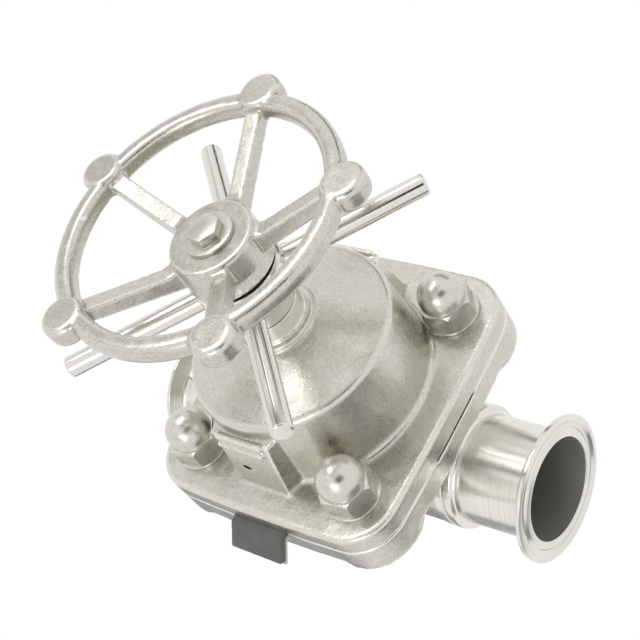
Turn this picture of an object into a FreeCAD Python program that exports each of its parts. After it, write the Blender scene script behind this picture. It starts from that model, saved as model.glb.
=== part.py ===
import FreeCAD, Part
import math
import os
import Sketcher
from FreeCAD import Placement, Rotation, Vector

# Weir-type diaphragm valve for 38.1 mm tube with clamp ends and a five-spoke handwheel.
# Frame: the origin is where the stem axis meets the pipe axis. +X runs along the pipe to
# the outlet, +Y across it and +Z up the stem. The model stands in its closed position.

doc = FreeCAD.newDocument("diaphragm_valve")
sheet = doc.addObject("Spreadsheet::Sheet", "Sizes")

DRIVING_SIZES = [
    # pipe ends
    ("face_to_face", 158.8), ("bore_dia", 35.6), ("body_bore_dia", 35), ("tube_dia", 38.1),
    ("ferrule_dia", 50.5), ("ferrule_length", 28.6), ("ferrule_edge", 1.4),
    ("ferrule_slope", 20), ("groove_dia", 43.6), ("groove_width", 3.2), ("groove_depth", 0.8),
    # body
    ("neck_dia", 43.0), ("neck_bevel", 2.2), ("bowl_dia", 62), ("seat_depth", 16),
    ("body_flange_top", 24.4), ("body_flange_thick", 5.4), ("ear_thick", 8.2), ("ear_dia", 33), ("border_gap", 0.06), ("slot_length", 28), ("slot_depth", 1.1),
    ("border_width", 2.8), ("belly_dia", 73), ("belly_drop", 30), ("weir_crest", 6),
    ("weir_slope", 40),
    # flange outline and bolting
    ("flange_edge_x", 17.05), ("flange_edge_y", 17.35), ("flange_corner", 17),
    ("flange_bow", 0.7), ("flange_round", 1.6), ("bolt_clearance", 0.85), ("bolt_angle", 47.2),
    ("bolt_dia", 10), ("bolt_hole_dia", 11), ("bolt_flats", 16), ("bolt_head_thick", 6.4),
    ("nut_flats", 17), ("nut_hex_thick", 8), ("nut_height", 17.7), ("nut_dome_dia", 16.2),
    ("washer_dia", 20), ("washer_thick", 1.6),
    # diaphragm
    ("facing_thick", 1.0), ("backing_thick", 2.8), ("tab_width", 22.6), ("tab_offset", -1.4),
    ("tab_length", 9.6), ("tab_angle", 48), ("stud_head_dia", 12), ("stud_dia", 6), ("pin_dia", 2.5),
    # bonnet
    ("bonnet_flange_thick", 8), ("drum_dia", 77.4), ("drum_taper", 1.7), ("drum_height", 30),
    ("drum_fillet", 2.5), ("shoulder_round", 2), ("bonnet_wall", 4.6), ("cone_rise", 7.6),
    ("ring_dia", 27.2), ("ring_height", 2.0), ("neck_stem_dia", 22.8), ("neck_top_step", 47.2),
    ("neck_thread_dia", 17), ("neck_thread_length", 12.5), ("pad_width", 20.6),
    ("pad_flare", 4), ("pad_proud", 4.5), ("pad_lean", 4), ("pad_height", 24),
    ("guide_slot", 12), ("guide_skin", 1.3), ("weep_width", 2.6), ("weep_height", 1.3),
    # spindle, bush and compressor
    ("spindle_dia", 12), ("spindle_tip_dia", 9.8), ("collar_dia", 18), ("collar_thick", 3.5),
    ("bush_dia", 18), ("bush_flange_dia", 28), ("bush_flange_thick", 3.5),
    ("bush_screw_dia", 3), ("oring_section", 1.6), ("compressor_gap", 5.4),
    ("compressor_top", 41.2), ("compressor_lug", 11.7),
    # locking nut and its bars
    ("lock_plane", 97.6), ("lock_nut_dia", 31), ("lock_skirt_dia", 23.4), ("lock_head", 11.4),
    ("bar_dia", 7.2), ("bar_reach", 64.7), ("bar_angle", 45), ("collet_slit", 1.2),
    # handwheel
    ("hub_dia", 29.4), ("hub_bottom", 105.2), ("hub_height", 14.1), ("hub_gap", 1.9), ("rim_radius", 46),
    ("rim_rise", 21.6), ("rim_wide", 6.6), ("rim_tall", 7.2), ("knob_out", 3.2),
    ("knob_dia", 14.4), ("knob_tall", 8), ("knob_round", 1.8), ("spoke_count", 5),
    ("spoke_angle", 96.2), ("spoke_wide", 5.8), ("spoke_tall", 7.6),
    ("spoke_tip_tall", 5.6), ("key_side", 3), ("key_short", 4.3), ("wheel_washer_dia", 17),
    ("wheel_washer_thick", 1.4), ("wheel_bolt_dia", 6), ("wheel_bolt_flats", 10),
    ("wheel_bolt_head", 3.2), ("wheel_bolt_length", 14),
    # clearances
    ("running_gap", 0.05), ("soft_gap", 0.3), ("loose_gap", 0.7),
]


class Size:
    """A length or angle together with the expression that gives it from the sheet."""

    def __init__(self, number, text):
        self.number = float(number)
        self.text = text

    def __add__(self, other):
        other = as_size(other)
        return Size(self.number + other.number, f"({self.text} + {other.text})")

    def __radd__(self, other):
        return as_size(other) + self

    def __sub__(self, other):
        other = as_size(other)
        return Size(self.number - other.number, f"({self.text} - {other.text})")

    def __rsub__(self, other):
        return as_size(other) - self

    def __mul__(self, other):
        other = as_size(other)
        return Size(self.number * other.number, f"({self.text} * {other.text})")

    def __rmul__(self, other):
        return as_size(other) * self

    def __truediv__(self, other):
        other = as_size(other)
        return Size(self.number / other.number, f"({self.text} / {other.text})")

    def __neg__(self):
        return Size(-self.number, f"(0 - {self.text})")


def as_size(value):
    return value if isinstance(value, Size) else Size(value, repr(float(value)))


def square_root(value):
    return Size(math.sqrt(value.number), f"sqrt({value.text})")


def tangent(angle):
    return Size(math.tan(math.radians(angle.number)), f"tan({angle.text} * 1deg)")


def cosine(angle):
    return Size(math.cos(math.radians(angle.number)), f"cos({angle.text} * 1deg)")


def sine(angle):
    return Size(math.sin(math.radians(angle.number)), f"sin({angle.text} * 1deg)")


class Sheet:
    """The driving sizes, each one an attribute with the name of its cell."""


def fill_sheet():
    sizes = Sheet()
    for row, (alias, number) in enumerate(DRIVING_SIZES, start=1):
        sheet.set(f"A{row}", alias)
        sheet.set(f"B{row}", str(number))
        sheet.setAlias(f"B{row}", alias)
    doc.recompute()
    for alias, _ in DRIVING_SIZES:
        setattr(sizes, alias, Size(getattr(sheet, alias), f"Sizes.{alias}"))
    return sizes


d = fill_sheet()

# levels and radii that several pieces share
port_reach = d.face_to_face / 2
neck_end = port_reach - d.ferrule_length
drum_radius = d.drum_dia / 2
drum_top_radius = drum_radius - d.drum_taper
bolt_reach = drum_radius + d.washer_dia / 2 + d.bolt_clearance
bolt_x = bolt_reach * cosine(d.bolt_angle)
bolt_y = bolt_reach * sine(d.bolt_angle)
flange_half_x = bolt_x + d.flange_edge_x
flange_half_y = bolt_y + d.flange_edge_y
body_flange_bottom = d.body_flange_top - d.body_flange_thick
ear_bottom = d.body_flange_top - d.ear_thick
facing_top = d.body_flange_top + d.facing_thick
bonnet_bottom = facing_top + d.backing_thick
border_top = bonnet_bottom - d.border_gap
bonnet_flange_top = bonnet_bottom + d.bonnet_flange_thick
bowl_radius = d.bowl_dia / 2
bowl_sphere = (bowl_radius * bowl_radius + d.seat_depth * d.seat_depth) / (2 * d.seat_depth)
bowl_centre = d.body_flange_top - d.seat_depth + bowl_sphere
facing_outer = bowl_sphere - d.soft_gap
facing_inner = facing_outer - d.facing_thick
backing_outer = facing_inner - d.running_gap
backing_inner = backing_outer - d.backing_thick
compressor_sphere = backing_inner - d.soft_gap
stud_head_bottom = bowl_centre - backing_inner + 1.0
stud_head_top = stud_head_bottom + 2.0
backing_boss_top = stud_head_top + 1.0
stud_top = backing_boss_top + 11.0
drum_top = bonnet_flange_top + d.drum_height
cavity_radius = drum_top_radius - d.bonnet_wall
ring_bottom = drum_top + d.cone_rise
cone_slope = d.cone_rise / (drum_top_radius - d.ring_dia / 2)
neck_step = bonnet_flange_top + d.neck_top_step
neck_top = neck_step + d.neck_thread_length
boss_bottom = drum_top - d.bonnet_wall + 0.4
bush_top = neck_step - 1.6
collar_bottom = d.compressor_top - 6.6
slot_floor = collar_bottom - 1.1
nut_top = d.hub_bottom - d.hub_gap
hub_top = d.hub_bottom + d.hub_height
spindle_end = hub_top - 0.8
rim_plane = d.hub_bottom + d.rim_rise
knob_radius = d.rim_radius + d.knob_out
guide_reach = drum_radius - d.guide_skin
washer_top = bonnet_flange_top + d.washer_thick


def bind(item, **sizes):
    """Tie properties of an object to sizes; two underscores stand for a dot."""
    for name, size in sizes.items():
        item.setExpression(name.replace("__", "."), as_size(size).text)


def place(item, x=0, y=0, z=0):
    bind(item, Placement__Base__x=x, Placement__Base__y=y, Placement__Base__z=z)


def cylinder(name, radius, bottom, top, x=0, y=0):
    item = doc.addObject("Part::Cylinder", name)
    bind(item, Radius=radius, Height=as_size(top) - bottom)
    place(item, x, y, bottom)
    return item


def cross_cylinder(name, radius, start, end, angle=0, z=0):
    """A cylinder along a level line, from start to end, turned about the stem."""
    item = doc.addObject("Part::Cylinder", name)
    angle = as_size(angle)
    bind(item, Radius=radius, Height=as_size(end) - start)
    turn = Rotation(Vector(0, 0, 1), angle.number) * Rotation(Vector(0, 1, 0), 90)
    item.Placement = Placement(Vector(0, 0, 0), turn)
    place(item, as_size(start) * cosine(angle), as_size(start) * sine(angle), z)
    return item


def cone(name, low_radius, high_radius, bottom, top, x=0, y=0):
    item = doc.addObject("Part::Cone", name)
    bind(item, Radius1=low_radius, Radius2=high_radius, Height=as_size(top) - bottom)
    place(item, x, y, bottom)
    return item


def sphere(name, radius, z, x=0, y=0):
    item = doc.addObject("Part::Sphere", name)
    bind(item, Radius=radius)
    place(item, x, y, z)
    return item


def block(name, low, high):
    item = doc.addObject("Part::Box", name)
    spans = [as_size(top) - bottom for bottom, top in zip(low, high)]
    bind(item, Length=spans[0], Width=spans[1], Height=spans[2])
    place(item, *low)
    return item


def hexagon(name, flats, bottom, top, x=0, y=0, turn=0):
    """An upright hexagonal prism, given by the width across its flats."""
    item = doc.addObject("Part::Prism", name)
    item.Polygon = 6
    item.Placement = Placement(Vector(0, 0, 0), Rotation(Vector(0, 0, 1), turn))
    bind(item, Circumradius=flats / math.sqrt(3), Height=as_size(top) - bottom)
    place(item, x, y, bottom)
    return item


def fuse(name, *pieces):
    item = doc.addObject("Part::MultiFuse", name)
    item.Shapes = list(pieces)
    return item


def cut(name, base, *tools):
    item = doc.addObject("Part::Cut", name)
    item.Base = base
    item.Tool = tools[0] if len(tools) == 1 else fuse(f"{name}_tools", *tools)
    return item


def common(name, *pieces):
    item = doc.addObject("Part::MultiCommon", name)
    item.Shapes = list(pieces)
    return item


def group(name, pieces):
    item = doc.addObject("Part::Compound", name)
    item.Links = list(pieces)
    return item


def new_sketch(body, plane, name):
    """A sketch on one of the body's own origin planes."""
    support = [item for item in body.Origin.OriginFeatures if item.Role == plane][0]
    sketch = body.newObject("Sketcher::SketchObject", name)
    sketch.AttachmentSupport = (support, [""])
    sketch.MapMode = "FlatFace"
    return sketch


def arc_between(start, end, radius):
    """The short arc from start to end; a positive radius bulges to the right of the way."""
    chord = end - start
    middle = (start + end) * 0.5
    side = Vector(-chord.y, chord.x, 0).normalize()
    rise = math.sqrt(max(radius * radius - chord.Length * chord.Length / 4, 0.0))
    centre = middle + side * (rise if radius > 0 else -rise)
    outward = (middle - centre).normalize()
    return Part.Arc(start, centre + outward * abs(radius), end)


def outline(sketch, steps):
    """A closed outline. A step is (x, y), or (x, y, radius) where an arc leads to it."""
    points = [Vector(as_size(step[0]).number, as_size(step[1]).number, 0) for step in steps]
    count = len(steps)
    for index, step in enumerate(steps):
        start = points[index - 1]
        if len(step) == 3:
            geometry = arc_between(start, points[index], as_size(step[2]).number)
            edge = sketch.addGeometry(geometry, False)
        else:
            edge = sketch.addGeometry(Part.LineSegment(start, points[index]), False)
    # an arc drawn clockwise is stored turned round, so each end is looked up by its place
    ends = [edge_ends(sketch, index, points) for index in range(count)]
    for index in range(count):
        following = (index + 1) % count
        join = Sketcher.Constraint("Coincident", index, ends[index][1],
                                   following, ends[following][0])
        sketch.addConstraint(join)
    for index, step in enumerate(steps):
        pin_point(sketch, index, ends[index][1], as_size(step[0]), as_size(step[1]))
        if len(step) == 3:
            radius = as_size(step[2])
            turned = radius if radius.number > 0 else -radius
            fixed = sketch.addConstraint(Sketcher.Constraint("Radius", index, turned.number))
            sketch.setExpression(f"Constraints[{fixed}]", turned.text)


def edge_ends(sketch, index, points):
    """Which end numbers of an edge are its first and last point."""
    first = sketch.getPoint(index, 1)
    if (first - points[index - 1]).Length < 1e-5:
        return (1, 2)
    return (2, 1)


def pin_point(sketch, edge, end, x, y):
    """Dimension a point from the sketch's origin."""
    for kind, size, axis in (("DistanceX", x, -2), ("DistanceY", y, -1)):
        if abs(size.number) < 1e-9:
            sketch.addConstraint(Sketcher.Constraint("PointOnObject", edge, end, axis))
        else:
            rule = Sketcher.Constraint(kind, -1, 1, edge, end, size.number)
            number = sketch.addConstraint(rule)
            sketch.setExpression(f"Constraints[{number}]", size.text)


def circle(sketch, x, y, radius):
    x, y, radius = as_size(x), as_size(y), as_size(radius)
    shape = Part.Circle(Vector(x.number, y.number, 0), Vector(0, 0, 1), radius.number)
    edge = sketch.addGeometry(shape, False)
    pin_point(sketch, edge, 3, x, y)
    number = sketch.addConstraint(Sketcher.Constraint("Radius", edge, radius.number))
    sketch.setExpression(f"Constraints[{number}]", radius.text)


def revolved(name, steps, axis="V_Axis"):
    """A body turned about the stem (V_Axis) or about the pipe (H_Axis)."""
    body = doc.addObject("PartDesign::Body", name)
    sketch = new_sketch(body, "XZ_Plane", f"{name}_profile")
    outline(sketch, steps)
    turn = body.newObject("PartDesign::Revolution", f"{name}_turn")
    turn.Profile = sketch
    turn.ReferenceAxis = (sketch, [axis])
    turn.Angle = 360
    sketch.Visibility = False
    return body


def padded(name, draw, bottom, top):
    """A body raised from a level outline, which draw puts into the sketch."""
    body = doc.addObject("PartDesign::Body", name)
    sketch = new_sketch(body, "XY_Plane", f"{name}_outline")
    draw(sketch)
    pad = body.newObject("PartDesign::Pad", f"{name}_pad")
    pad.Profile = sketch
    bind(pad, Length=as_size(top) - bottom)
    place(body, 0, 0, bottom)
    return body


def flange_outline(sketch, inset=0):
    """The rounded rectangle with slightly bowed sides that the flanged pieces share."""
    half_x = flange_half_x - inset
    half_y = flange_half_y - inset
    corner = d.flange_corner - inset
    side_x = half_x - d.flange_bow - corner
    side_y = half_y - d.flange_bow - corner
    edge_x = half_x - d.flange_bow
    edge_y = half_y - d.flange_bow
    bow_x = (side_x * side_x + d.flange_bow * d.flange_bow) / (2 * d.flange_bow)
    bow_y = (side_y * side_y + d.flange_bow * d.flange_bow) / (2 * d.flange_bow)
    outline(sketch, [
        (side_x, -edge_y, bow_x), (edge_x, -side_y, corner), (edge_x, side_y, bow_y),
        (side_x, edge_y, corner), (-side_x, edge_y, bow_x), (-edge_x, side_y, corner),
        (-edge_x, -side_y, bow_y), (-side_x, -edge_y, corner)])


def bolt_places():
    return [(bolt_x * sx, bolt_y * sy, f"{number}") for number, (sx, sy) in
            enumerate(((1, -1), (1, 1), (-1, 1), (-1, -1)), start=1)]


def bolt_holes(name, bottom, top):
    return [cylinder(f"{name}_hole_{number}", d.bolt_hole_dia / 2, bottom, top, x, y)
            for x, y, number in bolt_places()]


def rounded(name, base, radius, choose):
    """A copy of base with the edges that choose picks rounded off."""
    doc.recompute()
    item = doc.addObject("Part::Fillet", name)
    item.Base = base
    wanted = [number for number, edge in enumerate(base.Shape.Edges, start=1) if choose(edge)]
    item.Edges = [(number, radius.number, radius.number) for number in wanted]
    return item


def prism(name, plane, steps, width):
    """A body with the given side outline, spread evenly to both sides of the plane."""
    body = doc.addObject("PartDesign::Body", name)
    sketch = new_sketch(body, plane, f"{name}_side")
    outline(sketch, steps)
    pad = body.newObject("PartDesign::Pad", f"{name}_pad")
    pad.Profile = sketch
    pad.Midplane = True
    bind(pad, Length=width)
    sketch.Visibility = False
    return body


def rounded_box(x, y, wide, tall, corner):
    """Steps of an upright rectangle with rounded corners, around the point x, y."""
    left, right = x - wide / 2, x + wide / 2
    low, high = y - tall / 2, y + tall / 2
    return [
        (right - corner, low), (right, low + corner, corner), (right, high - corner),
        (right - corner, high, corner), (left + corner, high), (left, high - corner, corner),
        (left, low + corner), (left + corner, low, corner)]


# valve body: necks, belly and flange, hollowed by the bore on both sides of the weir
body_necks = revolved("body_necks", [
    (-neck_end, 0), (neck_end, 0), (neck_end, d.neck_dia / 2 - 1.2),
    (neck_end - d.neck_bevel, d.neck_dia / 2), (-neck_end + d.neck_bevel, d.neck_dia / 2),
    (-neck_end, d.neck_dia / 2 - 1.2)], "H_Axis")
belly_radius = d.belly_dia / 2
belly_bottom = body_flange_bottom - d.belly_drop
belly_ball = (belly_radius * belly_radius + d.belly_drop * d.belly_drop) / (2 * d.belly_drop)
body_belly = revolved("body_belly", [
    (0, body_flange_bottom + 2), (0, belly_bottom), (belly_radius, body_flange_bottom, belly_ball),
    (belly_radius, body_flange_bottom + 2)])
body_flange = padded("body_flange", flange_outline, body_flange_bottom, d.body_flange_top)
ear_blank = padded("ear_blank", flange_outline, ear_bottom, d.body_flange_top)
ear_discs = fuse("ear_discs", *[
    cylinder(f"ear_disc_{number}", d.ear_dia / 2, ear_bottom - 1, d.body_flange_top, x, y)
    for x, y, number in bolt_places()])
body_ears = common("body_ears", ear_blank, ear_discs)
body_border = padded("body_border", flange_outline, body_flange_bottom, border_top)
border_hollow = padded("border_hollow", lambda sketch: flange_outline(sketch, d.border_width),
                       d.body_flange_top, border_top + 1)
tab_left = d.tab_offset - d.tab_width / 2
tab_right = d.tab_offset + d.tab_width / 2
border_gate = block("border_gate", (tab_left - d.soft_gap, -flange_half_y - 2, d.body_flange_top),
                    (tab_right + d.soft_gap, -flange_half_y + 6, border_top + 1))
border_slots = block("border_slots", (-neck_end, -d.slot_length / 2, border_top - d.slot_depth),
                     (neck_end, d.slot_length / 2, border_top + 1))
border_ring = cut("border_ring", body_border, border_hollow, border_gate, border_slots)
weir_low = d.body_bore_dia / 2 + 2
weir_top = d.body_flange_top - d.seat_depth + 3
weir_reach = d.weir_crest / 2 + (weir_top + weir_low) / tangent(d.weir_slope)
weir = prism("weir", "XZ_Plane", [
    (-weir_reach, -weir_low), (weir_reach, -weir_low), (d.weir_crest / 2, weir_top),
    (-d.weir_crest / 2, weir_top)], d.neck_dia * 2)
bore = cross_cylinder("bore", d.body_bore_dia / 2, -neck_end - 1, neck_end + 1)
flow_path = cut("flow_path", bore, weir)
seat_bowl = sphere("seat_bowl", bowl_sphere, bowl_centre)
body_solid = fuse("body_solid", body_necks, body_belly, body_flange, body_ears, border_ring)
valve_body = cut("valve_body", body_solid, flow_path, seat_bowl,
                 *bolt_holes("body", ear_bottom - 1, border_top + 1))


# clamp ferrules, welded to the necks
def ferrule(name, side):
    tube = d.tube_dia / 2
    rim = d.ferrule_dia / 2
    rim_back = port_reach - d.ferrule_edge
    slope_start = rim_back - (rim - tube) * tangent(d.ferrule_slope)
    groove = d.groove_dia / 2
    profile = [
        (neck_end, d.bore_dia / 2), (port_reach, d.bore_dia / 2),
        (port_reach, groove - d.groove_width / 2), (port_reach - d.groove_depth, groove - 0.7),
        (port_reach - d.groove_depth, groove + 0.7), (port_reach, groove + d.groove_width / 2),
        (port_reach, rim), (rim_back, rim), (slope_start, tube), (neck_end, tube)]
    return revolved(name, [(side * x, y) for x, y in profile], "H_Axis")


outlet_ferrule = ferrule("outlet_ferrule", 1)
inlet_ferrule = ferrule("inlet_ferrule", -1)


# diaphragm: a facing and a backing, both domed down on the weir
def diaphragm_sheet(name, bottom, top, outer, inner):
    plate = padded(f"{name}_plate", lambda sketch: flange_outline(sketch, d.border_width + 0.3),
                   bottom, top)
    ball = sphere(f"{name}_ball", outer, bowl_centre)
    slab = block(f"{name}_slab", (-bowl_sphere, -bowl_sphere, -1), (bowl_sphere, bowl_sphere, top))
    dome = common(f"{name}_dome", ball, slab)
    return plate, dome, sphere(f"{name}_hollow", inner, bowl_centre)


def tab_strip(name, bottom, top, bend):
    """The strip that passes the gate in the border and bends down outside it."""
    thick = top - bottom
    tip = bend - d.tab_length * cosine(d.tab_angle)
    low = top - d.tab_length * sine(d.tab_angle)
    strip = prism(name, "YZ_Plane", [
        (-flange_half_y + 8, bottom), (-flange_half_y + 8, top), (bend, top), (tip, low),
        (tip + thick * sine(d.tab_angle), low - thick * cosine(d.tab_angle)),
        (bend + thick * tangent(d.tab_angle / 2), bottom)], d.tab_width)
    place(strip, d.tab_offset, 0, 0)
    return strip


backing_bend = -flange_half_y - 2.3
facing_bend = backing_bend + d.backing_thick * tangent(d.tab_angle / 2) + 0.05
facing_plate, facing_dome, facing_hollow = diaphragm_sheet(
    "facing", d.body_flange_top, facing_top, facing_outer, facing_inner)
facing_tab = tab_strip("facing_tab", d.body_flange_top, facing_top, facing_bend)
diaphragm_facing = cut(
    "diaphragm_facing", fuse("facing_solid", facing_plate, facing_dome, facing_tab),
    facing_hollow, *bolt_holes("facing", d.body_flange_top - 1, facing_top + 1))

backing_plate, backing_dome, backing_hollow = diaphragm_sheet(
    "backing", facing_top, bonnet_bottom, backing_outer, backing_inner)
backing_tab = tab_strip("backing_tab", facing_top, bonnet_bottom, backing_bend)
backing_solid = cut(
    "backing_solid", fuse("backing_whole", backing_plate, backing_dome, backing_tab),
    backing_hollow, *bolt_holes("backing", facing_top - 1, bonnet_bottom + 1))
boss_foot = bowl_centre - backing_inner - 1
backing_boss = cylinder("backing_boss", 8.5, boss_foot, backing_boss_top)
stud_head_room = cylinder("stud_head_room", d.stud_head_dia / 2 + 0.05,
                          stud_head_bottom - 0.05, stud_head_top + 0.05)
stud_room = cylinder("stud_room", d.stud_dia / 2 + 0.05, stud_head_top, backing_boss_top + 1)
diaphragm_backing = cut("diaphragm_backing", fuse("backing_bossed", backing_solid, backing_boss),
                        stud_head_room, stud_room)

pin_level = stud_top - 5.5
stud_turned = revolved("stud_turned", [
    (0, stud_head_bottom), (d.stud_head_dia / 2, stud_head_bottom),
    (d.stud_head_dia / 2, stud_head_top), (d.stud_dia / 2, stud_head_top),
    (d.stud_dia / 2, stud_top - 0.6), (d.stud_dia / 2 - 0.6, stud_top), (0, stud_top)])
diaphragm_stud = cut("diaphragm_stud", stud_turned, cross_cylinder(
    "stud_eye", d.pin_dia / 2, -d.stud_dia, d.stud_dia, 90, pin_level))

# compressor: a dome that follows the diaphragm, with a slot for the spindle's collar
compressor_radius = cavity_radius - d.compressor_gap
guide_half = guide_reach - 0.35
puck = cylinder("puck", compressor_radius, stud_head_bottom, d.compressor_top)
lugs = block("lugs", (-d.compressor_lug / 2, -guide_half, bonnet_bottom + 0.8),
             (d.compressor_lug / 2, guide_half, d.compressor_top))
press_ball = sphere("press_ball", compressor_sphere, bowl_centre)
ball_roof = cylinder("ball_roof", guide_reach + 2, bowl_centre - 17, d.compressor_top + 1)
press_form = common("press_form", fuse("puck_lugs", puck, lugs),
                    fuse("press_limit", press_ball, ball_roof))
boss_room = cylinder("boss_room", 9.1, 5, backing_boss_top + 0.4)
stud_bore = cylinder("stud_bore", d.stud_dia / 2, 5, stud_top + 0.5)
collar_room = cylinder("collar_room", d.collar_dia / 2 + 0.2, slot_floor,
                       collar_bottom + d.collar_thick + 0.1)
collar_way = block("collar_way", (0, -d.collar_dia / 2 - 0.2, slot_floor),
                   (compressor_radius + 1, d.collar_dia / 2 + 0.2,
                    collar_bottom + d.collar_thick + 0.1))
shank_room = cylinder("shank_room", d.spindle_dia / 2 + 0.2, slot_floor, d.compressor_top + 1)
shank_way = block("shank_way", (0, -d.spindle_dia / 2 - 0.2, slot_floor),
                  (compressor_radius + 1, d.spindle_dia / 2 + 0.2, d.compressor_top + 1))
pin_hole = cross_cylinder("pin_hole", d.pin_dia / 2, -compressor_radius, compressor_radius, 90,
                          pin_level)
compressor = cut("compressor", press_form, boss_room, stud_bore, collar_room, collar_way,
                 shank_room, shank_way, pin_hole)
pin_half = compressor_radius - 6
compressor_pin = cross_cylinder("compressor_pin", d.pin_dia / 2, -pin_half, pin_half, 90,
                                pin_level)

thrust_washer = cut(
    "thrust_washer",
    cylinder("thrust_disc", d.collar_dia / 2, slot_floor + 0.05, collar_bottom - 0.05),
    cylinder("thrust_eye", 3, slot_floor - 1, collar_bottom + 1))

# spindle with its thrust collar
tip_radius = d.spindle_tip_dia / 2
spindle_radius = d.spindle_dia / 2
wheel_seat = d.hub_bottom + 2
key_low = wheel_seat + 0.8
key_length = d.hub_height - d.key_short
spindle_turned = revolved("spindle_turned", [
    (0, collar_bottom), (d.collar_dia / 2 - 0.5, collar_bottom),
    (d.collar_dia / 2, collar_bottom + 0.5), (d.collar_dia / 2, collar_bottom + d.collar_thick),
    (spindle_radius, collar_bottom + d.collar_thick), (spindle_radius, wheel_seat),
    (tip_radius, wheel_seat), (tip_radius, spindle_end - 0.5), (tip_radius - 0.5, spindle_end),
    (0, spindle_end)])
bolt_foot = hub_top + d.wheel_washer_thick - d.wheel_bolt_length
spindle_tapping = cylinder("spindle_tapping", d.wheel_bolt_dia / 2, bolt_foot - 1, spindle_end + 1)
key_in = tip_radius - 1.2
key_out = key_in + d.key_side
key_seat = block("key_seat", (key_in, -d.key_side / 2, key_low),
                 (key_out + 1, d.key_side / 2, key_low + key_length))
spindle = cut("spindle", spindle_turned, spindle_tapping, key_seat)
wheel_key = block("wheel_key", (key_in, -d.key_side / 2, key_low),
                  (key_out, d.key_side / 2, key_low + key_length))

# bonnet: flange, tapered drum with two guide pads, cone and threaded neck
ring_radius = d.ring_dia / 2
neck_radius = d.neck_stem_dia / 2
thread_radius = d.neck_thread_dia / 2
bonnet_flange = rounded(
    "bonnet_flange", padded("bonnet_plate", flange_outline, bonnet_bottom, bonnet_flange_top),
    d.flange_round, lambda edge: edge.BoundBox.ZMin > bonnet_flange_top.number - 0.01)
bonnet_drum = revolved("bonnet_drum", [
    (0, bonnet_bottom + 1), (drum_radius + d.drum_fillet, bonnet_bottom + 1),
    (drum_radius + d.drum_fillet, bonnet_flange_top),
    (drum_radius, bonnet_flange_top + d.drum_fillet, -d.drum_fillet),
    (drum_top_radius + 0.1, drum_top - d.shoulder_round),
    (drum_top_radius - d.shoulder_round, drum_top + d.shoulder_round * cone_slope,
     d.shoulder_round * 1.3),
    (ring_radius, ring_bottom), (ring_radius, ring_bottom + d.ring_height - 0.5),
    (ring_radius - 0.5, ring_bottom + d.ring_height), (neck_radius, ring_bottom + d.ring_height),
    (neck_radius, neck_step), (thread_radius, neck_step), (thread_radius, neck_top - 0.8),
    (thread_radius - 0.8, neck_top), (0, neck_top)])
pad_half = d.pad_width / 2
pad_root = pad_half + d.pad_flare
pad_top = bonnet_flange_top + d.pad_height
pad_out = drum_radius + d.pad_proud
pad_inner = drum_radius - 4.7


def pad_steps(sketch):
    outline(sketch, [
        (-pad_root, -pad_inner), (-pad_half, -pad_out), (pad_half, -pad_out),
        (pad_root, -pad_inner), (pad_root, pad_inner), (pad_half, pad_out),
        (-pad_half, pad_out), (-pad_root, pad_inner)])


pad_blank = padded("pad_blank", pad_steps, bonnet_bottom + 1, pad_top)
pad_taper = prism("pad_taper", "YZ_Plane", [
    (-pad_out - 0.1, bonnet_bottom), (pad_out + 0.1, bonnet_bottom),
    (pad_out + 0.1, bonnet_flange_top), (pad_out - d.pad_lean, pad_top),
    (-pad_out + d.pad_lean, pad_top), (-pad_out - 0.1, bonnet_flange_top)], pad_root * 3)
guide_pads = common("guide_pads", pad_blank, pad_taper)
bonnet_solid = fuse("bonnet_solid", bonnet_flange, bonnet_drum, guide_pads)
cavity = cylinder("cavity", cavity_radius, bonnet_bottom - 1, boss_bottom)
guide_ways = block("guide_ways", (-d.guide_slot / 2, -guide_reach, bonnet_bottom - 1),
                   (d.guide_slot / 2, guide_reach, pad_top - 1.6))
bush_room = cylinder("bush_room", d.bush_dia / 2 + 0.02, boss_bottom - 1, bush_top)
spindle_room = cylinder("spindle_room", spindle_radius + 0.3, boss_bottom - 1, neck_top + 1)
seal_low = bush_top + 3.2
seal_groove = cylinder("seal_groove", spindle_radius + 1.7, seal_low, seal_low + 2)
bush_screw_radius = d.bush_screw_dia / 2
bush_screw_place = d.bush_dia / 2 + 2.4
bush_screw_top = boss_bottom + 5.5
screw_room = cylinder("screw_room", bush_screw_radius, boss_bottom - 1, bush_screw_top,
                      bush_screw_place, 0)
spot_faces = [cylinder(f"spot_face_{number}", d.washer_dia / 2 + 0.3, bonnet_flange_top,
                       bonnet_flange_top + d.drum_fillet + 1, x, y)
              for x, y, number in bolt_places()]
weep_level = bonnet_flange_top + 8.5
weep = block("weep", (-4.2 - d.weep_width / 2, -pad_out - 1, weep_level),
             (-4.2 + d.weep_width / 2, -cavity_radius + 1, weep_level + d.weep_height))
bonnet = cut("bonnet", bonnet_solid, cavity, guide_ways, bush_room, spindle_room, seal_groove,
             screw_room, weep, *spot_faces, *bolt_holes("bonnet", bonnet_bottom - 1, bonnet_flange_top + 1))

spindle_bush = cut(
    "spindle_bush",
    fuse("bush_blank",
         cylinder("bush_barrel", d.bush_dia / 2, boss_bottom - 1, bush_top - 0.2),
         cylinder("bush_flange", d.bush_flange_dia / 2, boss_bottom - d.bush_flange_thick,
                  boss_bottom)),
    cylinder("bush_bore", spindle_radius + d.running_gap, boss_bottom - 9, bush_top + 1),
    cylinder("bush_screw_hole", bush_screw_radius, boss_bottom - 9, bush_top,
             bush_screw_place, 0))
bush_screw = cylinder("bush_screw", bush_screw_radius, boss_bottom - d.bush_flange_thick + 0.3,
                      bush_screw_top - 0.3, bush_screw_place, 0)

spindle_o_ring = doc.addObject("Part::Torus", "spindle_o_ring")
bind(spindle_o_ring, Radius1=spindle_radius + d.oring_section / 2 + 0.08,
     Radius2=d.oring_section / 2)
place(spindle_o_ring, 0, 0, seal_low + 1)

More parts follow.
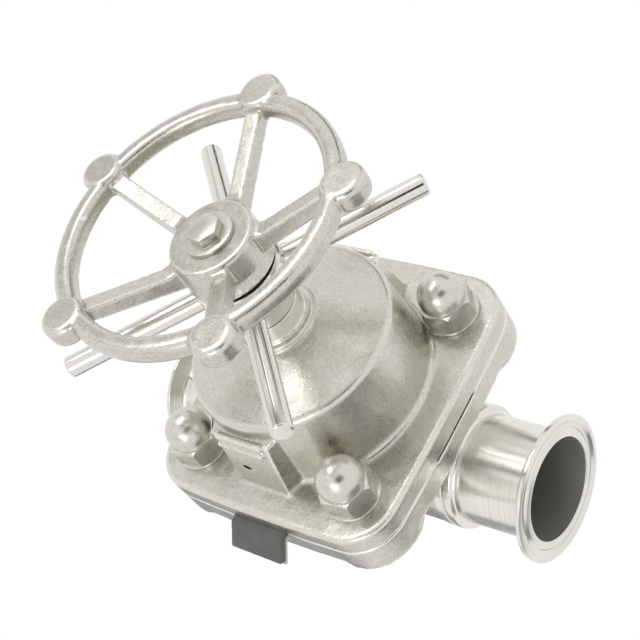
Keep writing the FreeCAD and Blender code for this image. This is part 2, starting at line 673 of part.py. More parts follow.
# lock nut with four bars, and the split cone it squeezes on the spindle
nut_radius = d.lock_nut_dia / 2
skirt_radius = d.lock_skirt_dia / 2
nut_shelf = nut_top - d.lock_head
nut_foot = neck_step + 0.5
cone_low = neck_top + 0.3
cone_high = nut_top - 2
cone_radius = spindle_radius + 2.4
nut_turned = revolved("nut_turned", [
    (thread_radius + 0.05, nut_foot), (skirt_radius - 0.5, nut_foot),
    (skirt_radius, nut_foot + 0.5), (skirt_radius, nut_shelf), (nut_radius - 1, nut_shelf),
    (nut_radius, nut_shelf + 1), (nut_radius, nut_top - 1), (nut_radius - 1, nut_top),
    (spindle_radius + 0.3, nut_top), (spindle_radius + 0.3, cone_high + 0.05),
    (spindle_radius + 1.25, cone_high + 0.05), (cone_radius + 0.1, cone_low),
    (cone_radius + 0.1, neck_top), (thread_radius + 0.05, neck_top - 0.4)])
bar_places = [(f"{number}", d.bar_angle + 90 * (number - 1)) for number in range(1, 5)]
bar_root = thread_radius + 2.2
bar_holes = [cross_cylinder(f"bar_hole_{number}", d.bar_dia / 2, bar_root, nut_radius + 1, angle,
                            d.lock_plane) for number, angle in bar_places]
lock_nut = cut("lock_nut", nut_turned, *bar_holes)


def lock_bar(number, angle):
    radius = d.bar_dia / 2
    tip = 0.9
    bar = revolved(f"lock_bar_{number}", [
        (bar_root + 0.05, 0), (d.bar_reach, 0), (d.bar_reach, radius - tip),
        (d.bar_reach - tip, radius, tip), (bar_root + 0.05, radius)], "H_Axis")
    turn = Rotation(Vector(0, 0, 1), angle.number)
    bar.Placement = Placement(Vector(0, 0, d.lock_plane.number), turn)
    place(bar, 0, 0, d.lock_plane)
    return bar


lock_bars = [lock_bar(number, angle) for number, angle in bar_places]
collet_turned = revolved("collet_turned", [
    (spindle_radius + d.running_gap, cone_low), (cone_radius, cone_low),
    (spindle_radius + 1.15, cone_high), (spindle_radius + d.running_gap, cone_high)])
collet_slit = block("collet_slit", (0, -d.collet_slit / 2, cone_low - 1),
                    (cone_radius + 1, d.collet_slit / 2, cone_high + 1))
lock_collet = cut("lock_collet", collet_turned, collet_slit)


# handwheel: hub, rim, and one spoke with its knob repeated round the stem
def handwheel_casting():
    body = doc.addObject("PartDesign::Body", "wheel_casting")
    hub = d.hub_dia / 2
    sections = [("hub", [
        (0, d.hub_bottom), (hub + 0.6, d.hub_bottom), (hub + 1, d.hub_bottom + 0.6),
        (hub, d.hub_bottom + 4), (hub, hub_top - 1.2), (hub - 1.2, hub_top, 1.2),
        (0, hub_top)]), ("rim", rounded_box(d.rim_radius, rim_plane, d.rim_wide, d.rim_tall, 2.5))]
    for name, steps in sections:
        sketch = new_sketch(body, "XZ_Plane", f"wheel_{name}_profile")
        outline(sketch, steps)
        turned = body.newObject("PartDesign::Revolution", f"wheel_{name}")
        turned.Profile = sketch
        turned.ReferenceAxis = (sketch, ["V_Axis"])
        turned.Angle = 360
    side = new_sketch(body, "XZ_Plane", "spoke_side")
    outline(side, [
        (hub - 4, hub_top - 1.2 - d.spoke_tall), (hub + 1, hub_top - 1.2 - d.spoke_tall),
        (d.rim_radius, rim_plane - d.spoke_tip_tall / 2),
        (d.rim_radius, rim_plane + d.spoke_tip_tall / 2), (hub + 3, hub_top - 1.2),
        (hub - 4, hub_top - 1.2)])
    spoke = body.newObject("PartDesign::Pad", "spoke")
    spoke.Profile = side
    spoke.Midplane = True
    bind(spoke, Length=d.spoke_wide)
    doc.recompute()
    repeat(body, "spokes", spoke)
    knob_side = new_sketch(body, "XZ_Plane", "knob_profile")
    half = d.knob_dia / 2
    top = rim_plane + d.knob_tall / 2
    low = top - d.knob_tall
    outline(knob_side, [
        (knob_radius, low), (knob_radius + half - d.knob_round, low),
        (knob_radius + half, low + d.knob_round, d.knob_round),
        (knob_radius + half, top - d.knob_round),
        (knob_radius + half - d.knob_round, top, d.knob_round), (knob_radius, top)])
    axis = knob_side.addGeometry(Part.LineSegment(
        Vector(knob_radius.number, low.number - 1, 0),
        Vector(knob_radius.number, top.number + 1, 0)), True)
    pin_point(knob_side, axis, 1, knob_radius, low - 1)
    pin_point(knob_side, axis, 2, knob_radius, top + 1)
    knob = body.newObject("PartDesign::Revolution", "knob")
    knob.Profile = knob_side
    knob.ReferenceAxis = (knob_side, ["Axis0"])
    knob.Angle = 360
    doc.recompute()
    repeat(body, "knobs", knob)
    bind(body, Placement__Rotation__Angle=d.spoke_angle)
    return body


def repeat(body, name, feature):
    """Repeat a feature of the wheel evenly round the stem."""
    pattern = body.newObject("PartDesign::PolarPattern", name)
    pattern.Originals = [feature]
    stem = [item for item in body.Origin.OriginFeatures if item.Role == "Z_Axis"][0]
    pattern.Axis = (stem, [""])
    pattern.Angle = 360
    bind(pattern, Occurrences=d.spoke_count)
    body.Tip = pattern


wheel_casting = handwheel_casting()
wheel_bore = cylinder("wheel_bore", tip_radius + 0.02, wheel_seat - 1, hub_top + 1)
wheel_counterbore = cylinder("wheel_counterbore", spindle_radius + 0.1, d.hub_bottom - 1,
                             wheel_seat)
wheel_keyway = block("wheel_keyway", (0, -d.key_side / 2, d.hub_bottom - 1),
                     (key_out + 0.1, d.key_side / 2, hub_top + 1))
handwheel = cut("handwheel", wheel_casting, wheel_bore, wheel_counterbore, wheel_keyway)

bolt_seat = hub_top + d.wheel_washer_thick
wheel_washer = cut(
    "wheel_washer", cylinder("wheel_disc", d.wheel_washer_dia / 2, hub_top, bolt_seat),
    cylinder("wheel_disc_eye", d.wheel_bolt_dia / 2 + 0.3, hub_top - 1, bolt_seat + 1))
wheel_bolt = fuse(
    "wheel_bolt", hexagon("wheel_bolt_head", d.wheel_bolt_flats, bolt_seat,
                          bolt_seat + d.wheel_bolt_head, 0, 0, 51),
    cylinder("wheel_bolt_shank", d.wheel_bolt_dia / 2, bolt_foot, bolt_seat + 1))


# flange fasteners, four of each
def flange_bolt(x, y, number):
    seat = ear_bottom - d.washer_thick
    head = hexagon(f"bolt_head_{number}", d.bolt_flats, seat - d.bolt_head_thick, seat, x, y)
    shank = cylinder(f"bolt_shank_{number}", d.bolt_dia / 2, seat - 1, washer_top + 11, x, y)
    return fuse(f"flange_bolt_{number}", head, shank)


def flange_washer(name, bottom, x, y, number):
    disc = cylinder(f"{name}_disc_{number}", d.washer_dia / 2, bottom, bottom + d.washer_thick, x, y)
    eye = cylinder(f"{name}_eye_{number}", d.bolt_dia / 2 + 0.25, bottom - 1,
                   bottom + d.washer_thick + 1, x, y)
    return cut(f"{name}_{number}", disc, eye)


def dome_nut(x, y, number):
    radius = d.nut_dome_dia / 2
    ball_level = washer_top + d.nut_height - radius
    hexed = hexagon(f"nut_hex_{number}", d.nut_flats, washer_top, washer_top + d.nut_hex_thick,
                    x, y, 7)
    turned_down = cone(f"nut_bevel_{number}", d.nut_flats * 0.835, d.nut_flats * 0.53,
                       washer_top - 1, washer_top + d.nut_hex_thick, x, y)
    barrel = cylinder(f"nut_barrel_{number}", radius, washer_top, ball_level, x, y)
    ball = sphere(f"nut_ball_{number}", radius, ball_level, x, y)
    tapping = cylinder(f"nut_tapping_{number}", d.bolt_dia / 2, washer_top - 9, washer_top + 11.5,
                       x, y)
    outside = fuse(f"nut_outside_{number}", common(f"nut_faces_{number}", hexed, turned_down),
                   barrel, ball)
    return cut(f"dome_nut_{number}", outside, tapping)


flange_bolts = group("flange_bolts", [flange_bolt(*spot) for spot in bolt_places()])
bolt_washers = group("bolt_washers", [
    flange_washer("bolt_washer", ear_bottom - d.washer_thick, *spot)
    for spot in bolt_places()])
nut_washers = group("nut_washers", [
    flange_washer("nut_washer", bonnet_flange_top, *spot) for spot in bolt_places()])
dome_nuts = group("dome_nuts", [dome_nut(*spot) for spot in bolt_places()])

PARTS = [
    valve_body, inlet_ferrule, outlet_ferrule, diaphragm_facing, diaphragm_backing,
    diaphragm_stud, compressor, compressor_pin, thrust_washer, spindle, wheel_key, bonnet,
    spindle_bush, bush_screw, spindle_o_ring, lock_nut, *lock_bars, lock_collet, handwheel,
    wheel_washer, wheel_bolt, flange_bolts, bolt_washers, nut_washers, dome_nuts]

doc.recompute()
for item in doc.Objects:
    if "Invalid" in item.State or "Error" in item.State:
        raise RuntimeError(f"{item.Name} did not build: {item.State}")

os.makedirs("parts", exist_ok=True)
for part in PARTS:
    if part.Shape.isNull() or not part.Shape.isValid():
        raise RuntimeError(f"{part.Name} has no sound shape")
    part.Shape.exportStep(f"parts/{part.Name}.step")
    box = part.Shape.BoundBox
    print(f"{part.Name}: {len(part.Shape.Solids)} solids, z {box.ZMin:.2f} to {box.ZMax:.2f}")
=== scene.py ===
import math

import bmesh
import bpy
from mathutils import Matrix, Vector

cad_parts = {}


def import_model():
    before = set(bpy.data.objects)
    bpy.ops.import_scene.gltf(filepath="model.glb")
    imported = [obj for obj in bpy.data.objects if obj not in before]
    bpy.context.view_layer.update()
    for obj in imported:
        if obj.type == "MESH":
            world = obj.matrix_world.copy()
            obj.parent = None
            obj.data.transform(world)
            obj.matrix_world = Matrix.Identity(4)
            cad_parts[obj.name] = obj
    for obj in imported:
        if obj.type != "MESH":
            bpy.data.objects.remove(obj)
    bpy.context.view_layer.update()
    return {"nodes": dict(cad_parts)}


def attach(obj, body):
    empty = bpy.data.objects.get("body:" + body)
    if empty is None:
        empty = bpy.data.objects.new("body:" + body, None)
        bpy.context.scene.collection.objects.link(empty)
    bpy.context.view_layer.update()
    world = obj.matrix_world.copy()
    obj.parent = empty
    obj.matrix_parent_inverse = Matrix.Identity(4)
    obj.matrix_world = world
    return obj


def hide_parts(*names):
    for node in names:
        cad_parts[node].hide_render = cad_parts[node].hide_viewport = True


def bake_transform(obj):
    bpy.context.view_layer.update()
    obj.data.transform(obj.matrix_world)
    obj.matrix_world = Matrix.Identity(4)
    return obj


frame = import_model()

MM = 0.001
SHARP_ANGLE = 35  # degrees; flatter edges are shaded smooth
nodes = frame["nodes"]


# Meshes. Profiles and sizes of pieces are in millimetres.

def add_object(name, mesh):
    item = bpy.data.objects.new(name, mesh)
    bpy.context.scene.collection.objects.link(item)
    return item


def mesh_object(name, points, faces):
    """A smooth-shaded object from points in millimetres."""
    mesh = bpy.data.meshes.new(name)
    mesh.from_pydata([Vector(point) * MM for point in points], [], faces)
    mesh.validate()
    work = bmesh.new()
    work.from_mesh(mesh)
    bmesh.ops.remove_doubles(work, verts=work.verts, dist=1e-7)
    bmesh.ops.recalc_face_normals(work, faces=work.faces)
    work.to_mesh(mesh)
    work.free()
    mesh.shade_smooth()
    mesh.set_sharp_from_angle(angle=math.radians(SHARP_ANGLE))
    return add_object(name, mesh)


def soften(profile, closed):
    """Rounds the corners of a profile. A point is (r, h) or (r, h, corner radius)."""
    largest_share = 0.49  # of a side that one corner may take
    arc_step = 0.22  # radians
    out = []
    count = len(profile)
    for number, point in enumerate(profile):
        here = Vector(point[:2])
        radius = point[2] if len(point) > 2 else 0
        if not radius or (not closed and number in (0, count - 1)):
            out.append(here)
            continue
        before = Vector(profile[number - 1][:2]) - here
        after = Vector(profile[(number + 1) % count][:2]) - here
        angle = before.angle(after)
        reach = min(radius / math.tan(angle / 2), before.length * largest_share,
                    after.length * largest_share)
        radius = reach * math.tan(angle / 2)
        middle = (before.normalized() + after.normalized()).normalized()
        centre = here + middle * (radius / math.sin(angle / 2))
        first = here + before.normalized() * reach - centre
        last = here + after.normalized() * reach - centre
        turn = first.angle(last)
        steps = max(3, int((math.pi - angle) / arc_step))
        for step in range(steps + 1):
            part = step / steps
            arm = first * math.sin((1 - part) * turn) + last * math.sin(part * turn)
            out.append(centre + arm / math.sin(turn))
    return out


def lathe(name, profile, at=(0, 0, 0), axis=(0, 0, 1), segments=112, closed=True):
    """Turns a profile of (radius, height) points about an axis through a point."""
    ring = soften(profile, closed)
    points = []
    for segment in range(segments):
        angle = 2 * math.pi * segment / segments
        points += [(max(point.x, 0) * math.cos(angle), max(point.x, 0) * math.sin(angle), point.y)
                   for point in ring]
    count = len(ring)
    faces = []
    for segment in range(segments):
        here, beside = segment * count, (segment + 1) % segments * count
        for number in range(count if closed else count - 1):
            above = (number + 1) % count
            faces.append((here + number, beside + number, beside + above, here + above))
    item = mesh_object(name, points, faces)
    item.rotation_euler = Vector(axis).to_track_quat("Z", "Y").to_euler()
    item.location = Vector(at) * MM
    bpy.context.view_layer.update()
    return item


def baked(item, *modifiers):
    """Applies modifiers given as (type, settings)."""
    for kind, settings in modifiers:
        modifier = item.modifiers.new(kind, kind)
        for key, value in settings.items():
            setattr(modifier, key, value)
    graph = bpy.context.evaluated_depsgraph_get()
    graph.update()
    mesh = bpy.data.meshes.new_from_object(item.evaluated_get(graph))
    item.modifiers.clear()
    item.data = mesh


def with_tool(item, tool, operation, solver):
    """Joins a tool to an object or cuts it out, and deletes the tool."""
    baked(item, ("BOOLEAN", {"operation": operation, "object": tool, "solver": solver}))
    bpy.data.objects.remove(tool)


def cast_copy(node, name, voxel, rounds, keep=1.0, cutter=None, beads=()):
    """A casting: the node's shape with all its corners and joins rounded. The surface is
    rebuilt from voxels of that size and smoothed in rounds; keep is the share of faces."""
    item = add_object(name, nodes[node].data.copy())
    item.matrix_world = nodes[node].matrix_world
    for bead in beads:
        with_tool(item, bead, "UNION", "EXACT")
    coarser = 1
    baked(item, ("REMESH", {"mode": "VOXEL", "voxel_size": voxel * coarser * MM}),
          ("SMOOTH", {"factor": 0.5, "iterations": rounds}))
    if cutter:
        with_tool(item, cutter, "DIFFERENCE", "MANIFOLD")
    if keep < 1:
        baked(item, ("DECIMATE", {"ratio": keep}))
    item.data.shade_smooth()
    return item


def crisp_copy(node, name, width):
    """A machined piece: the node's shape with its edges broken by a small bevel."""
    mesh = nodes[node].data.copy()
    work = bmesh.new()
    work.from_mesh(mesh)
    bmesh.ops.remove_doubles(work, verts=work.verts, dist=1e-6)
    bmesh.ops.dissolve_limit(work, angle_limit=math.radians(1), verts=work.verts,
                             edges=work.edges)
    work.to_mesh(mesh)
    work.free()
    item = add_object(name, mesh)
    item.matrix_world = nodes[node].matrix_world
    baked(item, ("BEVEL", {"width": width * MM, "segments": 3, "limit_method": "ANGLE",
                           "angle_limit": math.radians(30)}))
    item.data.shade_smooth()
    item.data.set_sharp_from_angle(angle=math.radians(SHARP_ANGLE))
    return item


# Materials

def socket(shader, name, value):
    shader.inputs[name].default_value = value


def add(tree, kind, settings=None, **inputs):
    """A new shader node; inputs are numbers or output sockets, by input name."""
    item = tree.nodes.new(kind)
    for key, value in (settings or {}).items():
        setattr(item, key, value)
    for key, value in inputs.items():
        entry = item.inputs[key.replace("_", " ")]
        if isinstance(value, bpy.types.NodeSocket):
            tree.links.new(value, entry)
        else:
            entry.default_value = value
    return item


def noise(tree, place, scale, detail, rough):
    return add(tree, "ShaderNodeTexNoise", Vector=place, Scale=scale, Detail=detail,
               Roughness=rough).outputs["Fac"]


def ramp(tree, value, low, high, start=0.0, end=1.0):
    return add(tree, "ShaderNodeMapRange", Value=value, From_Min=low, From_Max=high,
               To_Min=start, To_Max=end).outputs["Result"]


def mixed(tree, factor, first, second):
    """Mixes two colours; each is a colour or an output socket."""
    item = add(tree, "ShaderNodeMix", {"data_type": "RGBA"})
    tree.links.new(factor, item.inputs[0])
    for place, value in ((6, first), (7, second)):
        if isinstance(value, bpy.types.NodeSocket):
            tree.links.new(value, item.inputs[place])
        else:
            item.inputs[place].default_value = (*value, 1)
    return item.outputs[2]


def shaded(colour, share):
    """A colour times a share."""
    return tuple(min(1, part * share) for part in colour)


def shader_of(material):
    return material.node_tree.nodes["Principled BSDF"]


def new_material(name):
    material = bpy.data.materials.new(name)
    material.use_nodes = True
    return material


def metal(name, colour, rough, grain=0.0, pitch=0.9, patch=0.0, tint=0.0, edge=0.0,
          turned=0.0, wave=0.0):
    """Bare steel. grain is the depth of its skin in millimetres and pitch its size; patch is
    the uneven polish, tint the speckle or the rings in its colour, edge how bright the painted
    highlight along its edges is (with it, its joins get painted shade), turned how far the
    lathe's marks stretch a reflection, and wave the depth in millimetres of the slow
    unevenness that a polishing belt leaves."""
    material = new_material(name)
    tree = material.node_tree
    shader = shader_of(material)
    socket(shader, "Base Color", (*colour, 1))
    socket(shader, "Metallic", 1.0)
    socket(shader, "Roughness", rough)
    place = add(tree, "ShaderNodeTexCoord").outputs["Object"]
    if patch:
        cloud = noise(tree, place, scale=160, detail=7, rough=0.65)
        tree.links.new(ramp(tree, cloud, 0.3, 0.7, rough - patch, rough + patch),
                       shader.inputs["Roughness"])
    normal = None
    wave_pitch = 9.0
    for depth, size, detail in ((wave, wave_pitch, 1), (grain, pitch, 4)):
        if depth:
            rise = noise(tree, place, scale=1 / (size * MM), detail=detail, rough=0.6)
            bump = add(tree, "ShaderNodeBump", Strength=1.0, Distance=depth * MM, Height=rise)
            if normal:
                tree.links.new(normal, bump.inputs["Normal"])
            normal = bump.outputs["Normal"]
    if normal:
        tree.links.new(normal, shader.inputs["Normal"])
    if tint:
        rings, speckle = (25, 25, 2600), (900, 900, 900)
        finer = add(tree, "ShaderNodeVectorMath", {"operation": "MULTIPLY"})
        tree.links.new(place, finer.inputs[0])
        finer.inputs[1].default_value = rings if turned else speckle
        fine = noise(tree, finer.outputs[0], scale=1.0, detail=5, rough=0.75)
        skin = mixed(tree, ramp(tree, fine, 0.32, 0.68), shaded(colour, 1 - tint),
                     shaded(colour, 1 + tint))
        if edge:
            # Painted light from pointiness, which is 0.5 on a flat face, more on an edge and less
            # in a join: a painted highlight pales the edges and painted shade darkens the joins.
            point = add(tree, "ShaderNodeNewGeometry").outputs["Pointiness"]
            edge_highlight_colour, join_shade_share = (0.95, 0.94, 0.90), 0.6
            skin = mixed(tree, ramp(tree, point, 0.506, 0.54, 0, edge), skin, edge_highlight_colour)
            skin = mixed(tree, ramp(tree, point, 0.49, 0.44, 0, join_shade_share), skin,
                         shaded(colour, 0.45))
        tree.links.new(skin, shader.inputs["Base Color"])
    if turned:
        quarter_turn = 0.25
        socket(shader, "Anisotropic", turned)
        socket(shader, "Anisotropic Rotation", quarter_turn)
        tangent = add(tree, "ShaderNodeTangent", {"direction_type": "RADIAL", "axis": "Z"})
        tree.links.new(tangent.outputs["Tangent"], shader.inputs["Tangent"])
    return material


def plain(name, colour, rough):
    """Rubber or plastic with a fine skin and a slightly uneven colour."""
    pitch, depth, tint, uneven = 0.6, 0.03, 0.08, 0.08
    material = new_material(name)
    tree = material.node_tree
    shader = shader_of(material)
    place = add(tree, "ShaderNodeTexCoord").outputs["Object"]
    skin = noise(tree, place, scale=1 / (pitch * MM), detail=4, rough=0.7)
    cloud = noise(tree, place, scale=140, detail=5, rough=0.6)
    tree.links.new(mixed(tree, ramp(tree, cloud, 0.35, 0.65), shaded(colour, 1 - tint),
                         shaded(colour, 1 + tint)), shader.inputs["Base Color"])
    tree.links.new(ramp(tree, skin, 0.3, 0.7, rough - uneven, rough + uneven),
                   shader.inputs["Roughness"])
    bump = add(tree, "ShaderNodeBump", Strength=1.0, Distance=depth * MM, Height=skin)
    tree.links.new(bump.outputs["Normal"], shader.inputs["Normal"])
    return material


# The castings' edge values set a painted highlight on their edges and painted shade in their
# joins.
CAST = metal("blasted_casting", (0.63, 0.61, 0.545), 0.28, grain=0.07, pitch=1.0, patch=0.07,
             tint=0.13, edge=0.55, wave=0.24)
WHEEL = metal("wheel_casting", (0.59, 0.575, 0.515), 0.27, grain=0.05, pitch=1.2, patch=0.09,
              tint=0.16, edge=0.6, wave=0.2)
POLISHED = metal("polished_steel", (0.78, 0.765, 0.71), 0.23, patch=0.03, tint=0.10, turned=0.85)
TURNED = metal("turned_steel", (0.74, 0.725, 0.67), 0.16, patch=0.04, tint=0.12, turned=0.85)
FLAT = metal("machined_steel", (0.70, 0.685, 0.63), 0.2, patch=0.04, tint=0.05)
WORN = metal("worn_steel", (0.64, 0.625, 0.565), 0.24, grain=0.02, patch=0.06, tint=0.08)
NUT = metal("nut_steel", (0.66, 0.64, 0.58), 0.29, grain=0.03, pitch=1.6, patch=0.06, tint=0.08,
            wave=0.25)
# Painted shade and light in the bore: a darker copy of the steel, half non-metal so that the soft
# light brightens it.
BORE_SHADED = metal("bore_shaded_steel", (0.40, 0.395, 0.35), 0.5, patch=0.04)
socket(shader_of(BORE_SHADED), "Metallic", 0.45)
BRONZE = metal("bronze", (0.66, 0.48, 0.26), 0.3, patch=0.05, tint=0.06)
RUBBER = plain("black_rubber", (0.21, 0.21, 0.205), 0.6)
socket(shader_of(RUBBER), "Specular IOR Level", 0.25)
# Painted shade: a near-black given to the inside faces of the drain slot.
SHADE = plain("drain_inside_painted_shade", (0.035, 0.034, 0.03), 0.8)
PTFE = plain("white_sheet", (0.84, 0.83, 0.78), 0.5)


def paint(item, material):
    item.data.materials.clear()
    item.data.materials.append(material)


def finish_node(name, material):
    for place in nodes[name].material_slots:
        place.material = material


def stand_for(item, node, body, material):
    """A piece takes the place of a node and rides on its body."""
    paint(item, material)
    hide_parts(node)
    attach(item, body)
    return item


# Castings. The front guide pad has a small drain slot, and each pad two beads at its top.

weep_x, weep_z, weep_wide, weep_tall = -3.6, 45.4, 4.0, 1.9
weep_start, weep_deep = -46, 16  # along Y
weep_limit = -28  # along Y; nothing behind it is the slot's own face
weep = lathe("weep", [(0, 0), (1, 0), (1, weep_deep), (0, weep_deep)],
             at=(weep_x, weep_start, weep_z), axis=(0, 1, 0), segments=32, closed=False)
weep.scale = (weep_wide / 2, weep_tall / 2, 1)
bead_places = ((39.5, 60.4), (40.5, 56.9))  # distance from the stem along Y, level
bead_half, bead_radius, bead_end = 10, 1.15, 0.6
bead_profile = [(0, -bead_half), (bead_radius, bead_end - bead_half),
                (bead_radius, bead_half - bead_end), (0, bead_half)]
pad_beads = [lathe(f"pad_bead_{level}", bead_profile, at=(0, side * out, level), axis=(1, 0, 0),
                   segments=16, closed=False)
             for side in (-1, 1) for out, level in bead_places]
bpy.context.view_layer.update()
bonnet = stand_for(cast_copy("bonnet", "bonnet_casting", voxel=0.55, rounds=3, keep=0.48,
                             cutter=weep, beads=pad_beads), "bonnet", "valve", CAST)
# The drain slot's inside faces get the near-black painted shade.
bonnet.data.materials.append(SHADE)
for face in bonnet.data.polygons:
    x, y, z = face.center / MM
    in_weep = abs(x - weep_x) < weep_wide / 2 and abs(z - weep_z) < weep_tall / 2
    if in_weep and y < weep_limit and abs(face.normal.y) < 0.6:
        face.material_index = 1
stand_for(cast_copy("valve_body", "body_casting", voxel=0.6, rounds=3, keep=0.5),
          "valve_body", "valve", CAST)
stand_for(cast_copy("handwheel", "wheel_casting", voxel=0.45, rounds=9, keep=0.7),
          "handwheel", "wheel_assembly", WHEEL)


# Diaphragm: the tab is cut off and rides on the valve; the rest is a separate piece that stays
# where it is

def part_beyond(item, name, y, side):
    """A copy of what lies on one side of a plane across Y, closed where it is cut."""
    block_size = 400 * MM
    work = bmesh.new()
    bmesh.ops.create_cube(work, size=block_size)
    block = add_object("block", bpy.data.meshes.new("block"))
    work.to_mesh(block.data)
    work.free()
    block.location.y = y * MM - side * block_size / 2
    copy = add_object(name, item.data.copy())
    copy.matrix_world = item.matrix_world
    bpy.context.view_layer.update()
    with_tool(copy, block, "DIFFERENCE", "MANIFOLD")
    copy.data.shade_smooth()
    return copy


tab_cut = -49
for node, name, voxel, material in (
        ("diaphragm_backing", "rubber", 0.5, RUBBER), ("diaphragm_facing", "sheet", 0.4, PTFE)):
    whole = cast_copy(node, f"{name}_whole", voxel, rounds=3)
    tab = part_beyond(whole, f"diaphragm_{name}_tab", tab_cut, -1)
    middle = part_beyond(whole, f"diaphragm_{name}", tab_cut, 1)
    bpy.data.objects.remove(whole)
    baked(middle, ("DECIMATE", {"ratio": 0.5}))
    stand_for(tab, node, "valve", material)
    paint(middle, material)
    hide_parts(node)
    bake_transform(middle)


# Clamp ferrules, turned. Profiles are (radius, distance along the pipe from the origin).

bore, tube, rim = 17.8, 19.05, 25.25  # radii
neck_end, port_reach, rim_back, slope_start = 50.8, 79.4, 78.0, 75.7
groove_level = port_reach - 0.8
FERRULE = [
    (bore, neck_end), (bore, port_reach, 0.3), (20.2, port_reach, 0.3),
    (21.1, groove_level, 0.3), (22.5, groove_level, 0.3), (23.4, port_reach, 0.3),
    (rim, port_reach, 0.35), (rim, rim_back, 0.35), (tube, slope_start, 2.2), (tube, neck_end)]
WELD_COLLAR = [
    (19.0, 44), (21.8, 44), (21.8, 46.6, 0.4), (21.35, 47.1, 0.2), (21.35, 47.7, 0.2),
    (21.9, 48.2, 0.4), (21.7, 50.2, 0.6), (20.6, 50.9, 0.3), (20.3, 51.5, 0.4),
    (19.0, 51.8, 0.2)]


def inside(item, radius, material):
    """Gives another material to the faces of a turned piece that lie within a radius."""
    item.data.materials.append(material)
    for face in item.data.polygons:
        if math.hypot(face.center.x, face.center.y) < radius * MM:
            face.material_index = 1


for name, node, side in (("outlet_end", "outlet_ferrule", 1), ("inlet_end", "inlet_ferrule", -1)):
    piece = stand_for(lathe(name, FERRULE, axis=(side, 0, 0), segments=160), node, "valve",
                      POLISHED)
    # The bore's faces get the darker, shaded copy of the steel.
    inside(piece, bore + 0.05, BORE_SHADED)
    collar = lathe(f"{name}_weld", WELD_COLLAR, axis=(side, 0, 0), segments=160)
    paint(collar, POLISHED)
    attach(collar, "valve")


# Bonnet neck, lock nut and bars

neck = lathe("neck_turned", [
    (9, 73.9), (13.65, 73.9), (13.65, 75.8, 0.5), (11.9, 75.8, 0.4), (11.9, 77.0, 0.3),
    (11.45, 77.2, 0.3), (11.45, 83.35, 0.4), (9, 83.35)])
paint(neck, TURNED)
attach(neck, "valve")
nut = lathe("lock_nut_turned", [
    (8.55, 83.9), (11.75, 83.9, 0.5), (11.75, 91.7, 0.3), (14.4, 91.9, 0.5), (15.5, 93.0, 0.6),
    (15.5, 102.2, 0.6), (14.4, 103.3, 0.5), (6.3, 103.3), (6.3, 101.4), (7.2, 101.4),
    (8.55, 96)], segments=128)
stand_for(nut, "lock_nut", "lock_ring", TURNED)

bar_level, bar_radius, bar_start, bar_reach, bar_round, bar_angle = 97.6, 3.6, 10.8, 64.7, 0.9, 45
for number in range(4):
    angle = math.radians(bar_angle + 90 * number)
    bar = lathe(f"bar_{number + 1}", [
        (0, bar_start), (bar_radius, bar_start), (bar_radius, bar_reach, bar_round),
        (0, bar_reach)], at=(0, 0, bar_level), axis=(math.cos(angle), math.sin(angle), 0),
        segments=64, closed=False)
    stand_for(bar, f"lock_bar_{number + 1}", "lock_ring", TURNED)


# Fasteners and washers, and the nodes that keep their shape

edge_bevel = 0.25
for name, body, material in (
        ("wheel_washer", "wheel_assembly", WORN), ("wheel_bolt", "wheel_assembly", WORN),
        ("flange_bolts", "valve", FLAT), ("bolt_washers", "valve", FLAT),
        ("nut_washers", "valve", WORN), ("dome_nuts", "valve", NUT)):
    stand_for(crisp_copy(name, f"{name}_machined", edge_bevel), name, body, material)

for name, material in (
        ("lock_collet", TURNED), ("spindle", TURNED), ("wheel_key", FLAT),
        ("diaphragm_stud", FLAT), ("compressor", CAST), ("compressor_pin", FLAT),
        ("thrust_washer", BRONZE), ("spindle_bush", BRONZE), ("bush_screw", FLAT),
        ("spindle_o_ring", RUBBER)):
    finish_node(name, material)


# Studio, in metres

def seen_by(tree, *rays):
    """1 for the named kinds of ray and 0 for the rest."""
    path = add(tree, "ShaderNodeLightPath")
    result = path.outputs[rays[0]]
    for ray in rays[1:]:
        either = add(tree, "ShaderNodeMath", {"operation": "MAXIMUM"})
        tree.links.new(result, either.inputs[0])
        tree.links.new(path.outputs[ray], either.inputs[1])
        result = either.outputs[0]
    return result


def choose(tree, factor, first, second, out):
    """Mixes two shaders by a factor and links them to the output node."""
    mix = add(tree, "ShaderNodeMixShader")
    for place, value in enumerate((factor, first.outputs[0], second.outputs[0])):
        tree.links.new(value, mix.inputs[place])
    tree.links.new(mix.outputs[0], out.inputs["Surface"])


def world():
    """Soft light, with plain white for the camera and for reflections."""
    back = bpy.data.worlds.new("studio")
    bpy.context.scene.world = back
    back.use_nodes = True
    tree = back.node_tree
    tree.nodes.clear()
    soft = add(tree, "ShaderNodeBackground", Color=(0.80, 0.80, 0.79, 1), Strength=0.55)
    white = add(tree, "ShaderNodeBackground", Color=(1, 1, 1, 1), Strength=1)
    choose(tree, seen_by(tree, "Is Camera Ray", "Is Glossy Ray", "Is Transmission Ray"), soft,
           white, add(tree, "ShaderNodeOutputWorld"))


def plate(name, width, depth):
    mesh = bpy.data.meshes.new(name)
    right, back = width / 2, depth / 2
    mesh.from_pydata([(-right, -back, 0), (right, -back, 0), (right, back, 0),
                      (-right, back, 0)], [], [(0, 1, 2, 3)])
    return add_object(name, mesh)


def aim_at(item, at, target):
    item.location = at
    item.rotation_euler = (Vector(target) - Vector(at)).to_track_quat("-Z", "Y").to_euler()


def floor():
    """A pale floor that is white to the camera and in reflections."""
    item = plate("floor", 12, 12)
    item.location = (0, 0, -0.16)
    material = new_material("floor")
    tree = material.node_tree
    shader = shader_of(material)
    socket(shader, "Base Color", (0.86, 0.86, 0.86, 1))
    socket(shader, "Roughness", 0.9)
    choose(tree, seen_by(tree, "Is Camera Ray", "Is Glossy Ray"), shader,
           add(tree, "ShaderNodeEmission"), tree.nodes["Material Output"])
    paint(item, material)


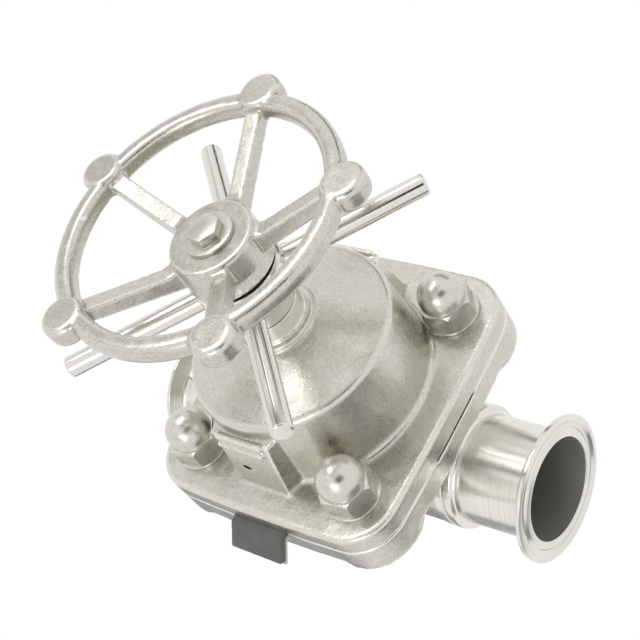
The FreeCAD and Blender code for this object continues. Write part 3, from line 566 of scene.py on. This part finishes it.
def camera():
    """The photograph's viewpoint, fitted to points of the object in it."""
    data = bpy.data.cameras.new("camera")
    data.sensor_width = 36
    data.sensor_fit = "HORIZONTAL"
    data.lens = 75.95
    data.clip_start = 0.01
    item = add_object("camera", data)
    right = Vector((0.76997, 0.47108, -0.43038))
    up = Vector((-0.18065, 0.80784, 0.56103))
    back = right.cross(up).normalized()
    up = back.cross(right).normalized()
    turn = Matrix((right, up, back)).transposed().to_4x4()
    item.matrix_world = Matrix.Translation((0.2810, -0.1498, 0.3801)) @ turn
    bpy.context.scene.camera = item


def lamp(name, at, target, width, depth, power):
    light = bpy.data.lights.new(name, "AREA")
    light.shape = "RECTANGLE"
    light.size = width
    light.size_y = depth
    light.energy = power
    aim_at(add_object(name, light), at, target)


def card(name, at, target, width, depth, level):
    """A card of an even grey that is only seen in reflections."""
    item = plate(name, width, depth)
    aim_at(item, at, target)
    material = new_material(name)
    tree = material.node_tree
    glow = add(tree, "ShaderNodeEmission", Strength=level)
    tree.links.new(glow.outputs[0], tree.nodes["Material Output"].inputs["Surface"])
    paint(item, material)
    item.visible_camera = False
    item.visible_diffuse = False
    item.visible_shadow = False


def strip(name, angle, middle, length, width, level):
    """A long card beside the pipe, at an angle above the horizon at its +Y side."""
    distance = 0.6
    turn = math.radians(angle)
    card(name, (middle, distance * math.cos(turn), distance * math.sin(turn)), (middle, 0, 0),
         length, width, level)


world()
floor()
camera()
lamp("key", (-0.20, 0.02, 0.60), (-0.05, 0, 0.03), width=0.45, depth=0.15, power=0.75)
lamp("fill", (0.25, -0.75, 0.35), (0, 0, 0.05), width=0.36, depth=0.36, power=0.8)
strip("card_low_back", 24, middle=-0.11, length=0.48, width=0.12, level=0.06)
strip("card_top", 105, middle=-0.22, length=0.7, width=0.06, level=0.02)
strip("card_low_front", 162, middle=-0.22, length=0.7, width=0.15, level=0.85)
card("card_camera", (0.52, -0.28, 0.72), (0, 0, 0.05), width=0.6, depth=0.35, level=0.05)
card("card_left", (-0.60, 0.24, 0.62), (0, 0, 0.08), width=0.34, depth=0.40, level=0.72)
card("card_mat_right", (0.27, -0.08, -0.13), (0.27, -0.08, 1), width=0.22, depth=0.26, level=0.32)
card("card_mat_left", (-0.12, -0.07, -0.135), (-0.12, -0.07, 1), width=0.24, depth=0.15,
     level=0.40)

bpy.context.scene.view_settings.view_transform = "Standard"
